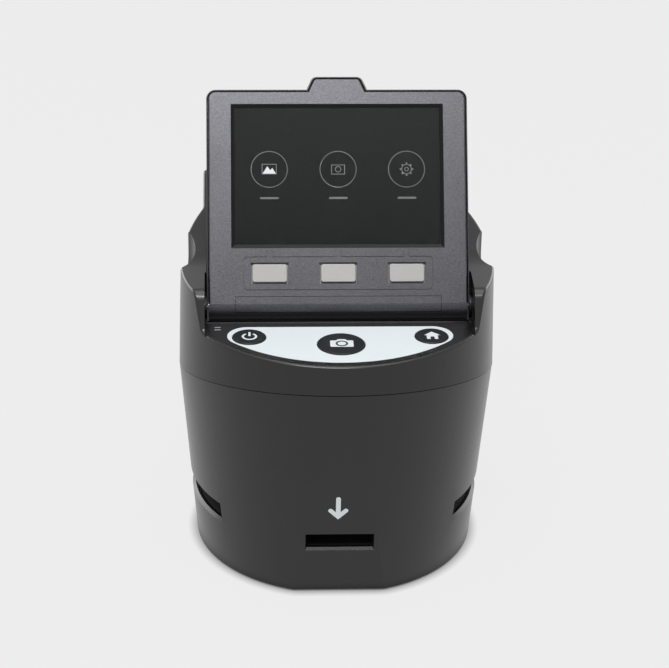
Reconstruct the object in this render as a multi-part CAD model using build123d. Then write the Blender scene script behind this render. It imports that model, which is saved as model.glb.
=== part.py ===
from build123d import *
import math
import os

# Tabletop film negative scanner with a tilting display lid.
# Millimetres, Z up, +Y to the rear, origin on the table under the axis of the round body.

# ---- casing ----
FOOT_GAP = 0.8            # lower edge of the casing above the table
BASE_R = 52.06            # casing radius at its lower edge
BASE_SLOPE = 0.084        # growth of that radius per mm of height
WALL = 2.2
FACET_Y = 49.35           # flat front facet, distance from the axis at the lower edge
FACET_SLOPE = 0.125
SEAM_Z = 70.35            # parting plane height on the axis
SEAM_SLOPE = 0.257        # it falls this much per mm towards the rear
SEAM_GAP = 0.3
LIP_H = 2.4               # tongue of the lower casing inside the upper one
LIP_ROOT = 2.5            # it starts this far under the parting plane
LIP_T = 1.0
UPPER_R = 57.94           # upper casing radius at the parting height
UPPER_SLOPE = -0.0216
UPPER_FRONT_Z = 85.6      # height of the parting line at the very front
UPPER_SHIFT = -1.55       # centre of the upper outline at that height
UPPER_SHIFT_SLOPE = 0.0701
REAR_HALF = 49.0          # half width of the squarer rear part
REAR_Y = 61.0
REAR_CORNER = 12.0
REAR_TAPER_Z = 55.6       # the rear part narrows below this height
REAR_TAPER = 3.0          # degrees
FLANK_FILLET = 6.0        # where the round front meets the straight rear
REAR_LAP = 20.0           # how far the squarer part reaches forward into the round one

# ---- top of the casing ----
RIM_Z = 96.3
DECK_Z = 95.6
DECK_T = 2.4
RIM_W = 1.4
TOP_EDGE = 1.0            # rounding of the outer top edge
CHEEK_IN = 48.2           # inner faces of the side cheeks, round the hinge
CHEEK_IN_REAR = 47.7      # and behind it
CHEEK_RECESS_R = 12.3     # reach of the wider part from the hinge axis
CHEEK_FOOT_Y = -30.1
CHEEK_FOOT_R = 2.5
CHEEK_NOSE_Y = -24.0
CHEEK_NOSE_R = 4.5
CHEEK_DIP_R = 30.0        # hollow rounding where the level top starts to rise
CHEEK_TOP_Y = 2.1
CHEEK_TOP_Z = 109.5
CHEEK_END_Y = 50.0        # behind this the cheeks drop to the rear wall
CHEEK_END_R = 6.0
REAR_TOP_Z = 112.0
CLOSED = 20.0             # slope of the cheeks and of the closed lid, degrees
FLUTE_R = 16.0            # finger hollow in the outer side of each cheek
FLUTE_X = 67.7
FLUTE_Y = 8.2
FLUTE_Z = 106.0

# ---- lid ----
HINGE_Y = -10.5
HINGE_Z = 97.5
OPEN = 59.2               # slope of the lid face in the modelled pose, degrees
BARREL_R = 6.0
TROUGH_R = 6.9
WELL_FRONT = -22.0        # front lip of the well under the lower end of the lid
WELL_Z = 91.4
WELL_T = 1.6              # wall in front of the well
WELL_FLOOR_T = 1.8
TROUGH_LOW = 89.0         # underside of the trough round the hinge barrel
LID_CLEAR = 0.8           # gap between the closed lid and the casing under it
LID_REACH = 110.0         # the pocket for the lid runs this far back from the hinge axis
LID_HALF = 47.4
LID_TOP = 78.1            # top edge of the lid, from the hinge axis
LID_FACE = 6.0            # face and back of the lid, from the hinge axis
LID_CORNER = 3.4
LID_SPLIT = 2.0           # level where bezel and back cover meet
LID_STEP = 0.7            # the back cover is this much larger all round
LID_LIP = 0.45            # thickness of its lip round the bezel
LID_LIP_TOP = 5.6
LID_WALL = 1.6
TAB_TOP = 82.8
TAB_CORNER = 2.4
TAB_HALF = (8.8, 11.0)    # half width of the lifting tab at its tip and root
LCD_W = 73.44             # 3.5 inch display, 3:2
LCD_H = 48.96
LCD_U = 22.0              # lower edge of the picture, from the hinge axis
WINDOW_MARGIN = 1.85
WINDOW_DEPTH = 0.9
WINDOW_T = 0.7
PICTURE_GAP = 0.1         # air between the window and the picture surface
PIN_R = 2.0
PIN_FIT = 0.05            # radial running clearance
WASHER_T = 0.6

# ---- keys and buttons ----
KEY_W = 12.5
KEY_H = 6.5
KEY_U = 11.05
KEY_PITCH = 24.8
KEY_GAP = 0.55
KEY_PROUD = 0.35
CAPTURE_Y = -38.8
CAPTURE_R = 8.4
SIDE_BUTTON = (32.4, -32.8)
SIDE_BUTTON_R = 5.9
BUTTON_GAP = 0.3
BUTTON_PROUD = 0.4
INDICATOR = (-43.6, -26.6)
OVERLAY_T = 0.7
OVERLAY_R = 53.1          # front arc of the white control panel
OVERLAY_BACK = -24.5
OVERLAY_END = 7.3         # radius of its rounded ends

# ---- film path ----
FILM_Y = 33.0             # half depth of the side slots
GATE_T = 3.2              # film surface above the underside of the lower gate
SPRING_X = 24.0           # detent springs of the film channel
SPRING_Z = (22.0, 26.0)
FILM_Z = (20.6, 27.8)
SLOT_BEVEL = 1.15
INSERT_HALF = 11.9
INSERT_Z = (19.7, 26.0)
INSERT_BEVEL = (0.5, 1.0)   # at the sides and below
GATE = (38.0, 26.0)       # picture window of the film gates

# ---- screws and bosses ----
PILOT_R = 1.2
SHANK_HOLE_R = 1.7
BOSS_R = 4.0
BOSS_LENGTH = 14.0
BOSS_INSET = 0.6          # bosses end this far inside the outer surface
HEAD_SINK = 1.5           # screw seats lie this far from the parting plane
BASE_BOSS_R = 3.6
DECK_BOSS_R = 2.8
DRIVE_R = 1.3             # cross slot of a screw head: reach, half width and depth
DRIVE_W = 0.3
DRIVE_T = 0.7

# ---- underside ----
PLATE_TOP = 3.4           # inner face of the base plate
PLATE_GAP = 0.25          # between the plate's edge and the casing wall
FOOT_R = 5.0
GATE_POST_R = 3.0

# ---- cutting blocks ----
FAR = 90.0                # reaches past every wall
SKY = 170.0               # reaches past the top of the casing
TINY = 0.01               # edges nearer than this to a height lie at it

# ---- boards ----
BOARD_T = 1.6
BUTTON_BOARD_Z = 87.2
MAIN_BOARD_Z = 79.0
SENSOR_BOARD_Z = 71.8


def block(x0, x1, y0, y1, z0, z1):
    """Box between two corners."""
    centre = ((x0 + x1) / 2, (y0 + y1) / 2, (z0 + z1) / 2)
    return Pos(*centre) * Box(abs(x1 - x0), abs(y1 - y0), abs(z1 - z0))


def rod(x, y, z0, z1, r):
    """Upright cylinder."""
    return Pos(x, y, (z0 + z1) / 2) * Cylinder(r, abs(z1 - z0))


def side_prism(points, x0, x1):
    """Prism along X over an outline given as (y, z) points."""
    wire = Polyline(*[(x0, y, z) for y, z in points], close=True)
    return extrude(make_face(wire), amount=x1 - x0, dir=(1, 0, 0))


def four(x, y):
    """A place mirrored to both sides and both ends."""
    return [(sx * x, sy * y) for sx in (-1, 1) for sy in (-1, 1)]


# ---------------------------------------------------------------- casing outlines

def seam_height(y):
    return SEAM_Z - SEAM_SLOPE * y


def below_seam(shift):
    """Everything under the parting plane moved up by shift."""
    points = [(-FAR, -FAR), (FAR, -FAR), (FAR, seam_height(FAR) + shift), (-FAR, seam_height(-FAR) + shift)]
    return side_prism(points, -FAR, FAR)


def lower_radius(z):
    return BASE_R + BASE_SLOPE * (z - FOOT_GAP)


def rear_outline(inset):
    half = REAR_HALF - inset
    depth = REAR_Y - inset
    outline = Pos(0, (depth - REAR_LAP) / 2) * Rectangle(2 * half, depth + REAR_LAP)
    corners = outline.vertices().sort_by(Axis.Y)[-2:]
    return fillet(corners, REAR_CORNER - inset)


def lower_solid(inset):
    """Round, flared lower body with its squarer rear and the flat front facet."""
    top = 100.0
    cone = Pos(0, 0, (FOOT_GAP + top) / 2) * Cone(
        lower_radius(FOOT_GAP) - inset, lower_radius(top) - inset, top - FOOT_GAP)
    rear = extrude(Pos(0, 0, REAR_TAPER_Z) * rear_outline(inset), amount=top - REAR_TAPER_Z)
    rear += extrude(Pos(0, 0, REAR_TAPER_Z) * rear_outline(inset),
                    amount=-(REAR_TAPER_Z - FOOT_GAP), taper=REAR_TAPER)
    body = cone + rear
    face_low = -(FACET_Y - inset)
    face_high = face_low - FACET_SLOPE * (top - FOOT_GAP)
    front = [(-FAR, FOOT_GAP - 1), (face_low + FACET_SLOPE, FOOT_GAP - 1), (face_high, top), (-FAR, top)]
    return body - side_prism(front, -FAR, FAR)


def upper_circle(z, inset):
    r = UPPER_R + UPPER_SLOPE * (z - SEAM_Z) - inset
    y = UPPER_SHIFT + UPPER_SHIFT_SLOPE * (z - UPPER_FRONT_Z)
    return Pos(0, y, z) * Circle(r)


def upper_solid(inset):
    """Upper body: an oblique cone in front, the squarer part behind."""
    low = 50.0
    high = 140.0
    cone = loft([upper_circle(low, inset), upper_circle(high, inset)], ruled=True)
    rear = extrude(Pos(0, 0, low) * rear_outline(inset), amount=high - low)
    return cone + rear


def cradle_point(u, v):
    """A point of the closed lid's frame as (y, z): u along the lid, v out of its face."""
    a = math.radians(CLOSED)
    return (HINGE_Y + u * math.cos(a) - v * math.sin(a), HINGE_Z + u * math.sin(a) + v * math.cos(a))


def top_profile():
    """Side view of the casing's top: rim, nose of the cheeks and their slope to the rear."""
    rise = math.tan(math.radians(CLOSED)) * (CHEEK_END_Y - CHEEK_TOP_Y)
    low = 40.0
    points = [(-FAR, low), (-FAR, RIM_Z), (CHEEK_FOOT_Y, RIM_Z), (CHEEK_NOSE_Y, CHEEK_TOP_Z),
              (CHEEK_TOP_Y, CHEEK_TOP_Z), (CHEEK_END_Y, CHEEK_TOP_Z + rise),
              (REAR_Y + 4, REAR_TOP_Z), (REAR_Y + 4, low)]
    solid = side_prism(points, -FAR, FAR)
    roundings = [(CHEEK_FOOT_Y, CHEEK_FOOT_R), (CHEEK_NOSE_Y, CHEEK_NOSE_R), (CHEEK_TOP_Y, CHEEK_DIP_R),
                 (CHEEK_END_Y, CHEEK_END_R)]
    for y, radius in roundings:
        edge = [e for e in solid.edges().filter_by(Axis.X) if abs(e.center().Y - y) < 0.5]
        solid = fillet(edge, radius)
    return solid


def lid_pocket():
    """Room between the cheeks for the lid, the hinge barrel and the control deck."""
    floor = -LID_FACE - LID_CLEAR
    a = cradle_point(0, floor)
    b = cradle_point(LID_REACH, floor)
    cradle = side_prism([a, b, (b[0], SKY), (HINGE_Y, SKY)], -CHEEK_IN_REAR, CHEEK_IN_REAR)
    front = block(-CHEEK_IN, CHEEK_IN, CHEEK_FOOT_Y - CHEEK_FOOT_R, HINGE_Y, DECK_Z, SKY)
    well = block(-CHEEK_IN_REAR, CHEEK_IN_REAR, WELL_FRONT, HINGE_Y, WELL_Z, DECK_Z + 1)
    axis = Pos(0, HINGE_Y, HINGE_Z) * Rot(0, 90, 0)
    trough = axis * Cylinder(TROUGH_R, 2 * CHEEK_IN)
    recess = axis * Cylinder(CHEEK_RECESS_R, 2 * CHEEK_IN) & block(-FAR, FAR, -FAR, FAR, HINGE_Z, SKY)
    deck = extrude(upper_circle(DECK_Z, RIM_W), amount=SKY - DECK_Z)
    deck &= block(-FAR, FAR, -FAR, CHEEK_FOOT_Y + 0.5, DECK_Z, SKY)
    return cradle + front + well + trough + recess + deck


def upper_cavity():
    a = cradle_point(4, -LID_FACE - LID_CLEAR - WALL)
    b = cradle_point(LID_REACH, -LID_FACE - LID_CLEAR - WALL)
    front = WELL_FRONT - WELL_T
    low = WELL_Z - WELL_FLOOR_T
    points = [(-FAR, 0), (-FAR, DECK_Z - DECK_T), (front, DECK_Z - DECK_T), (front, low),
              (-14, low), (-12.5, TROUGH_LOW), (-7, TROUGH_LOW), a, b, (b[0], 0)]
    return upper_solid(WALL) & side_prism(points, -FAR, FAR)


# ---------------------------------------------------------------- casing pieces

SHELL_SCREWS = [(37.05, -37.05), (43.2, 49.0)]
BASE_SCREWS = [(32.8, -32.8), (41.0, 49.0)]
BOARD_SCREWS = [(36.0, 2.0), (36.0, 48.0)]
DECK_SCREW = (19.5, -43.0)


def cut_film_slot(body):
    """Slot through both side walls; the chamfer below it follows the curved wall."""
    z0, z1 = FILM_Z
    body -= block(-FAR, FAR, -FILM_Y, FILM_Y, z0, z1)
    sill = []
    for e in body.edges():
        middle = e.position_at(0.5)
        if abs(middle.Z - z0) < TINY and e.bounding_box().size.Z < TINY and abs(middle.X) > FILM_Y:
            sill.append(e)
    return chamfer(sill, SLOT_BEVEL)


def cut_insert_slot(body):
    """Slot in the front facet, chamfered below and at the sides."""
    z0, z1 = INSERT_Z
    side, below = INSERT_BEVEL
    body -= block(-INSERT_HALF, INSERT_HALF, -FAR, -FILM_Y, z0, z1)
    mid = (z0 + z1) / 2
    face = -(FACET_Y + FACET_SLOPE * (mid - FOOT_GAP))
    lean = math.degrees(math.atan(FACET_SLOPE))
    mouth = Pos(0, face, mid) * Rot(90 + lean, 0, 0)
    outer = mouth * Pos(0, -below / 2, 0) * Rectangle(2 * (INSERT_HALF + side), z1 - z0 + below)
    inner = mouth * Pos(0, 0, -below) * Rectangle(2 * INSERT_HALF, z1 - z0)
    return body - loft([outer, inner], ruled=True)


def lower_shell():
    shell = fillet(flank_edges(lower_solid(0)), FLANK_FILLET)
    shell = cut_insert_slot(cut_film_slot(shell))
    shell = (shell - lower_solid(WALL)) & below_seam(-SEAM_GAP / 2)
    tongue = (upper_solid(WALL - LIP_T) - upper_solid(WALL)) & below_seam(LIP_H)
    tongue -= below_seam(-LIP_ROOT)
    for x, y in SHELL_SCREWS:
        for s in (-1, 1):
            tongue -= rod(s * x, y, 0, SKY, BOSS_R + 0.3)
    shell += tongue
    room = lower_solid(BOSS_INSET)
    for x, y in SHELL_SCREWS:
        for s in (-1, 1):
            top = seam_height(y) - HEAD_SINK
            boss = rod(s * x, y, top - BOSS_LENGTH, top + 8, BOSS_R) & below_seam(-SEAM_GAP / 2)
            shell += boss & room
            shell -= rod(s * x, y, top - BOSS_LENGTH - 1, top + 8, SHANK_HOLE_R)
    for x, y in BASE_SCREWS:
        for s in (-1, 1):
            shell += rod(s * x, y, PLATE_TOP, PLATE_TOP + 10.6, BASE_BOSS_R) & room
            shell -= rod(s * x, y, PLATE_TOP - 0.4, PLATE_TOP + 9.6, PILOT_R)
    return shell


def flank_edges(solid):
    """The upright inside corners where the round front meets the straight rear."""
    found = []
    for e in solid.edges():
        c = e.center()
        size = e.bounding_box().size
        if 20 < c.Y < 36 and abs(c.X) > 44 and size.Z > 20:
            found.append(e)
    return found


def outer_top_edges(solid):
    """Edges where the top profile meets the outer walls."""
    found = []
    for e in solid.edges():
        size = e.bounding_box().size
        upright = size.Z > 20 and size.Y < 4
        across = size.X > 70 and size.Y < 0.1
        if e.center().Z > RIM_Z - 1 and not upright and not across:
            found.append(e)
    return found


def upper_shell():
    body = upper_solid(0)
    body = fillet(flank_edges(body), FLANK_FILLET)
    body &= top_profile()
    body = fillet(outer_top_edges(body), TOP_EDGE)
    for s in (-1, 1):
        body -= rod(s * FLUTE_X, FLUTE_Y, FLUTE_Z, SKY, FLUTE_R)
        body -= Pos(s * FLUTE_X, FLUTE_Y, FLUTE_Z) * Sphere(FLUTE_R)
    shell = body - lid_pocket() - upper_cavity() - below_seam(SEAM_GAP / 2)
    shell -= upper_solid(WALL - LIP_T - 0.1) & below_seam(LIP_H + 0.4)
    shell -= overlay_outline(DECK_Z - OVERLAY_T, 2)
    for x, y, r in button_places():
        shell -= rod(x, y, DECK_Z - 6, DECK_Z + 2, r + BUTTON_GAP)
    for mark in indicator_lights():
        shell -= mark
    shell -= port_openings()
    for x, y in SHELL_SCREWS:
        z = seam_height(y) + HEAD_SINK
        for s in (-1, 1):
            boss = rod(s * x, y, z - 10, z + 6.5, BOSS_R) - below_seam(SEAM_GAP / 2)
            shell += boss & upper_solid(1.6)
            shell -= rod(s * x, y, z - 10, z + 5.5, PILOT_R + 0.05)
    for x, y in BOARD_SCREWS:
        a = math.tan(math.radians(CLOSED))
        top = HINGE_Z + (y - HINGE_Y) * a - 8.2
        for s in (-1, 1):
            shell += rod(s * x, y, MAIN_BOARD_Z + BOARD_T, top, 3.2)
            shell -= rod(s * x, y, MAIN_BOARD_Z + BOARD_T - 1, MAIN_BOARD_Z + 8, PILOT_R)
    x, y = DECK_SCREW
    for s in (-1, 1):
        shell += rod(s * x, y, BUTTON_BOARD_Z + BOARD_T, DECK_Z - DECK_T + 0.5, DECK_BOSS_R)
        shell -= rod(s * x, y, BUTTON_BOARD_Z, DECK_Z - DECK_T - 1.2, 1.0)
    for s in (-1, 1):
        shell -= Pos(s * (CHEEK_IN + 2), HINGE_Y, HINGE_Z) * Rot(0, 90, 0) * Cylinder(PIN_R, 5)
    return shell


def base_plate():
    plate = lower_solid(WALL + PLATE_GAP) & block(-FAR, FAR, -FAR, FAR, FOOT_GAP + 0.1, PLATE_TOP)
    for x, y in FEET:
        for s in (-1, 1):
            plate -= rod(s * x, y, 0, FOOT_GAP + 0.5, FOOT_R + 0.2)
    for x, y in BASE_SCREWS:
        for s in (-1, 1):
            plate -= rod(s * x, y, 0, 2.0, 2.8) + rod(s * x, y, 0, 4, 1.5)
    for i in range(VENTS):
        x = (i - (VENTS - 1) / 2) * VENT_PITCH
        plate -= block(x - VENT_W / 2, x + VENT_W / 2, *VENT_Y, 0, 5)
    for x, y in four(*GATE_POST):
        plate += rod(x, y, PLATE_TOP, FILM_Z[0] - GATE_T, GATE_POST_R)
    return plate


FEET = [(24.0, -32.0), (30.0, 44.0)]
GATE_POST = (32.0, 24.0)
VENTS = 7
VENT_PITCH = 5.0
VENT_W = 1.8
VENT_Y = (36, 48)
RAIL_SCREW = (28.0, 34.6)


def rubber_feet():
    return [rod(s * x, y, 0, FOOT_GAP + 0.5, FOOT_R) for x, y in FEET for s in (-1, 1)]


def screw(x, y, z_head, length, r, head_r=2.4, head_t=1.4, up=1):
    """Screw with a cross slot, head at z_head, shank in the direction up."""
    head = rod(x, y, z_head, z_head - up * head_t, head_r)
    top = z_head - up * head_t
    head -= block(x - DRIVE_R, x + DRIVE_R, y - DRIVE_W, y + DRIVE_W, top, top + up * DRIVE_T)
    head -= block(x - DRIVE_W, x + DRIVE_W, y - DRIVE_R, y + DRIVE_R, top, top + up * DRIVE_T)
    return head + rod(x, y, z_head, z_head + up * length, r)


def base_screws():
    return [screw(s * x, y, 2.0, 10.0, 1.2, head_t=1.0) for x, y in BASE_SCREWS for s in (-1, 1)]


def shell_screws():
    return [screw(s * x, y, seam_height(y) - 15.5, 20.5, 1.25) for x, y in SHELL_SCREWS for s in (-1, 1)]


def board_screws():
    z = MAIN_BOARD_Z
    return [screw(s * x, y, z, 7.0, 1.2) for x, y in BOARD_SCREWS for s in (-1, 1)]


def button_board_screws():
    x, y = DECK_SCREW
    return [screw(s * x, y, BUTTON_BOARD_Z, 4.5, 1.0, head_r=1.9) for s in (-1, 1)]


# ---------------------------------------------------------------- control panel

def button_places():
    x, y = SIDE_BUTTON
    return [(0, CAPTURE_Y, CAPTURE_R), (-x, y, SIDE_BUTTON_R), (x, y, SIDE_BUTTON_R)]


def overlay_outline(z, thick, inset=0.0):
    """Crescent with a straight back edge and round ends."""
    crescent = Circle(OVERLAY_R - inset) & Pos(0, OVERLAY_BACK - inset - 50) * Rectangle(200, 100)
    crescent = fillet(crescent.vertices(), OVERLAY_END - inset)
    return extrude(Pos(0, 0, z) * crescent, amount=thick)


def panel_overlay():
    plate = overlay_outline(DECK_Z - OVERLAY_T, OVERLAY_T, 0.08)
    for x, y, r in button_places():
        plate -= rod(x, y, DECK_Z - 3, DECK_Z + 3, r + BUTTON_GAP - 0.05)
    return plate


def button(x, y, r):
    """Round cap with a skirt that rests under the deck and a plunger over the switch."""
    top = DECK_Z + BUTTON_PROUD
    cap = rod(x, y, DECK_Z - DECK_T - 0.4, top, r)
    rim = cap.edges().filter_by(GeomType.CIRCLE).sort_by(Axis.Z)[-1]
    cap = fillet([rim], 0.35)
    skirt = rod(x, y, DECK_Z - DECK_T - 1.3, DECK_Z - DECK_T - 0.15, r + 0.9)
    stem = rod(x, y, BUTTON_BOARD_Z + BOARD_T + 2.6, DECK_Z - DECK_T, 1.6)
    return cap + skirt + stem


def button_board():
    z = BUTTON_BOARD_Z
    board = rod(0, 0, z, z + BOARD_T, 52.0) & block(-39.5, 39.5, -60, -23.5, z, z + BOARD_T)
    for x, y in SHELL_SCREWS[:1]:
        for s in (-1, 1):
            board -= rod(s * x, y, z - 1, z + 3, 5.0)
    x, y = DECK_SCREW
    for s in (-1, 1):
        board -= rod(s * x, y, z - 1, z + 3, 1.1)
    return board


def button_switches():
    out = []
    z = BUTTON_BOARD_Z + BOARD_T
    for x, y, _ in button_places():
        out.append(block(x - 3, x + 3, y - 3, y + 3, z, z + 1.2) + rod(x, y, z + 1.2, z + 1.9, 1.7))
    return out


def indicator_lights():
    """Two short light bars in the deck, left of the power button."""
    x, y = INDICATOR
    return [block(x - 1.1, x + 1.1, y + d - 0.35, y + d + 0.35, DECK_Z - DECK_T, DECK_Z) for d in (0, 1.9)]


# ---------------------------------------------------------------- hinge

def hinge_pin(s):
    length = 12.0
    x = s * (CHEEK_IN + 4.5 - length / 2)
    return Pos(x, HINGE_Y, HINGE_Z) * Rot(0, 90, 0) * Cylinder(PIN_R, length)


def friction_washer(s):
    x = s * (CHEEK_IN + LID_HALF) / 2
    ring = Cylinder(4.4, WASHER_T) - Cylinder(PIN_R, WASHER_T)
    return Pos(x, HINGE_Y, HINGE_Z) * Rot(0, 90, 0) * ring


# ---------------------------------------------------------------- film path and light

def film_gate_lower():
    """Gate plate with the picture window, and a guide rail along its front and rear edges."""
    z = FILM_Z[0]
    room = lower_solid(WALL + 0.3)
    plate = block(-FAR, FAR, -FILM_Y - 3, FILM_Y + 3, z - GATE_T, z - 0.2) & room
    plate -= block(-GATE[0] / 2, GATE[0] / 2, -GATE[1] / 2, GATE[1] / 2, z - 9, z + 2)
    out = [plate]
    for s in (-1, 1):
        rail = block(-FAR, FAR, s * (FILM_Y + 0.2), s * (FILM_Y + 3), z - 0.2, FILM_Z[1] + 0.2) & room
        for side in (-1, 1):
            rail -= rod(side * RAIL_SCREW[0], s * RAIL_SCREW[1], z, z + 9, 0.8)
        out.append(rail)
    return out


def film_gate_upper():
    z = FILM_Z[1] + 0.2
    plate = block(-FAR, FAR, -FILM_Y - 3, FILM_Y + 3, z, z + 2.4) & lower_solid(WALL + 0.3)
    for x, y in four(*TOWER_FOOT):
        plate -= rod(x, y, z + 0.6, z + 4, 1.1)
    for x, y in four(*RAIL_SCREW):
        plate -= rod(x, y, z - 1, z + 4, 0.9)
    return plate - block(-GATE[0] / 2, GATE[0] / 2, -GATE[1] / 2, GATE[1] / 2, z - 1, z + 4)


def insert_guide():
    z0, z1 = INSERT_Z
    front = -(FACET_Y + FACET_SLOPE * z0 - WALL) + 0.9
    back = -FILM_Y - 3.0
    sleeve = block(-INSERT_HALF - 1.8, INSERT_HALF + 1.8, front, back, z0 - 1.8, z1 + 1.8)
    return sleeve - block(-INSERT_HALF - 0.1, INSERT_HALF + 0.1, front - 1, back + 1, z0 - 0.1, z1 + 0.1)


def rail_screws():
    z = FILM_Z[1] + 2.6
    return [screw(x, y, z, 8.0, 0.8, head_r=1.7, head_t=1.1, up=-1) for x, y in four(*RAIL_SCREW)]


def detent_springs():
    """Leaf springs on the front guide wall that hold the film holder in step."""
    out = []
    for s in (-1, 1):
        x = s * SPRING_X
        leaf = block(x - 7, x + 7, -FILM_Y - 0.2, -FILM_Y + 0.15, *SPRING_Z)
        out.append(leaf)
    return out


def diffuser():
    z = FILM_Z[0] - GATE_T
    return block(-24, 24, -18, 18, z - 2.0, z)


def light_box():
    top = FILM_Z[0] - 5.2
    walls = block(-25, 25, -19, 19, 6.6, top) - block(-23, 23, -17, 17, 0, top + 1)
    for s in (-1, 1):
        walls += block(s * 25, s * 28, -19, 19, 6.6, 8.2)
    return walls


def led_board():
    return block(-28, 28, -19, 19, 5.0, 6.6)


def backlight_leds():
    places = [(x, y) for x in (-15, -5, 5, 15) for y in (-9, 0, 9)]
    return [block(x - 1.75, x + 1.75, y - 1.4, y + 1.4, 6.6, 7.5) for x, y in places]


def board_pads():
    return [rod(x, y, 3.4, 5.0, 3.0) for x, y in four(24, 15)]


# ---------------------------------------------------------------- optics

TOWER_Z = FILM_Z[1] + 2.6
LENS_Z = 56.0
TOWER_FOOT = (26.0, 12.0)
SENSOR_POST = (13.0, 13.0)


def optical_tower():
    """Dark hood over the film gate that carries the lens and the sensor board."""
    def hood(wx, wy, wt, z0, z1):
        low = Pos(0, 0, z0) * Rectangle(wx, wy)
        high = Pos(0, 0, z1) * Rectangle(wt, wt)
        return loft([low, high], ruled=True)
    outer = hood(46, 34, 23, TOWER_Z, LENS_Z) - hood(42, 30, 19, TOWER_Z, LENS_Z)
    outer += block(-29, 29, -17, 17, TOWER_Z, TOWER_Z + 2) - block(-20.5, 20.5, -14.5, 14.5, 20, 40)
    tube = block(-11.5, 11.5, -11.5, 11.5, LENS_Z - 3, 69.6) - rod(0, 0, LENS_Z - 4, 80, 9.3)
    tube += block(-15, 15, -15, 15, 67.6, 69.6) - rod(0, 0, 60, 80, 9.3)
    for x, y in four(*SENSOR_POST):
        tube += rod(x, y, 64.0, SENSOR_BOARD_Z, 2.2)
        tube -= rod(x, y, 66.0, 80, 0.9)
    for x, y in four(*TOWER_FOOT):
        outer -= rod(x, y, TOWER_Z - 1, TOWER_Z + 3, 1.1)
    return outer + tube


def lens_barrel():
    barrel = rod(0, 0, 53.5, 68.0, 9.2) - rod(0, 0, 50, 80, 6.6)
    barrel += rod(0, 0, 60.2, 61.4, 6.6) - rod(0, 0, 50, 80, 2.4)
    return barrel


def lens_element(z, thick, bulge):
    """Biconvex lens cut from the overlap of two balls."""
    r = 6.5
    ball = (r * r + bulge * bulge) / (2 * bulge)
    low = Pos(0, 0, z + thick / 2 + bulge - ball) * Sphere(ball)
    high = Pos(0, 0, z - thick / 2 - bulge + ball) * Sphere(ball)
    return rod(0, 0, z - thick / 2 - bulge, z + thick / 2 + bulge, r) & low & high


def ir_filter():
    return rod(0, 0, 66.6, 67.4, 6.5)


def image_sensor():
    chip = block(-5.5, 5.5, -5, 5, SENSOR_BOARD_Z - 1.8, SENSOR_BOARD_Z)
    return chip


def sensor_board():
    board = block(-16, 16, -16, 16, SENSOR_BOARD_Z, SENSOR_BOARD_Z + 1.2)
    for x, y in four(*SENSOR_POST):
        board -= rod(x, y, 60, 90, 1.1)
    return board


def sensor_screws():
    z = SENSOR_BOARD_Z + 1.2
    return [screw(x, y, z, 4.5, 0.9, head_r=1.8, head_t=1.1, up=-1) for x, y in four(*SENSOR_POST)]


def tower_screws():
    z = TOWER_Z + 2
    return [screw(x, y, z, 3.6, 1.1, head_r=1.9, up=-1) for x, y in four(*TOWER_FOOT)]


# ---------------------------------------------------------------- main board and sockets

USB = (-26.0, 9.0, 3.3)       # x, width, height of each socket mouth
HDMI = (-6.0, 11.3, 3.4)
CARD = (17.0, 25.0, 3.2)


def main_board():
    z = MAIN_BOARD_Z
    board = block(-41, 41, -9, 57.5, z, z + BOARD_T)
    for s in (-1, 1):
        board -= block(s * 38.5, s * 42, 50, 58, z - 1, z + 3)
        for x, y in BOARD_SCREWS:
            board -= rod(s * x, y, z - 1, z + 3, 1.3)
    return board


def socket(place, depth):
    x, w, h = place
    z = MAIN_BOARD_Z + BOARD_T
    y1 = REAR_Y - 0.5
    shell = block(x - w / 2, x + w / 2, y1 - depth, y1, z, z + h)
    return shell - block(x - w / 2 + 0.5, x + w / 2 - 0.5, y1 - depth + 1.5, y1 + 1, z + 0.5, z + h - 0.5)


def port_openings():
    cut = None
    z = MAIN_BOARD_Z + BOARD_T
    for x, w, h in (USB, HDMI, CARD):
        hole = block(x - w / 2 - 0.3, x + w / 2 + 0.3, REAR_Y - 5, REAR_Y + 5, z - 0.3, z + h + 0.3)
        cut = hole if cut is None else cut + hole
    return cut


def socket_tongue(place, depth, thick):
    x, w, h = place
    z = MAIN_BOARD_Z + BOARD_T + h / 2
    half = w / 2 - 1.6
    return block(x - half, x + half, REAR_Y - depth + 1, REAR_Y - 1.6, z - thick / 2, z + thick / 2)


def usb_socket():
    return socket(USB, 7.4) + socket_tongue(USB, 7.9, 0.7)


def hdmi_socket():
    return socket(HDMI, 8.0) + socket_tongue(HDMI, 8.5, 0.8)


def card_socket():
    return socket(CARD, 22.0)


def processor_chip():
    z = MAIN_BOARD_Z + BOARD_T
    return block(-7, 7, 12, 26, z, z + 1.4)


def memory_chips():
    z = MAIN_BOARD_Z + BOARD_T
    return [block(x - 4, x + 4, 13, 24, z, z + 1.1) for x in (-20, 20)]


# ---------------------------------------------------------------- lid, in its own frame
# x to the right, y up the lid from the hinge axis, z out of its face

LID_PLANE = Plane(origin=(0, HINGE_Y, HINGE_Z), x_dir=(1, 0, 0),
                  z_dir=(0, -math.sin(math.radians(OPEN)), math.cos(math.radians(OPEN))))


def in_lid(piece):
    if isinstance(piece, list):
        return [LID_PLANE.location * p for p in piece]
    return LID_PLANE.location * piece


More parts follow.
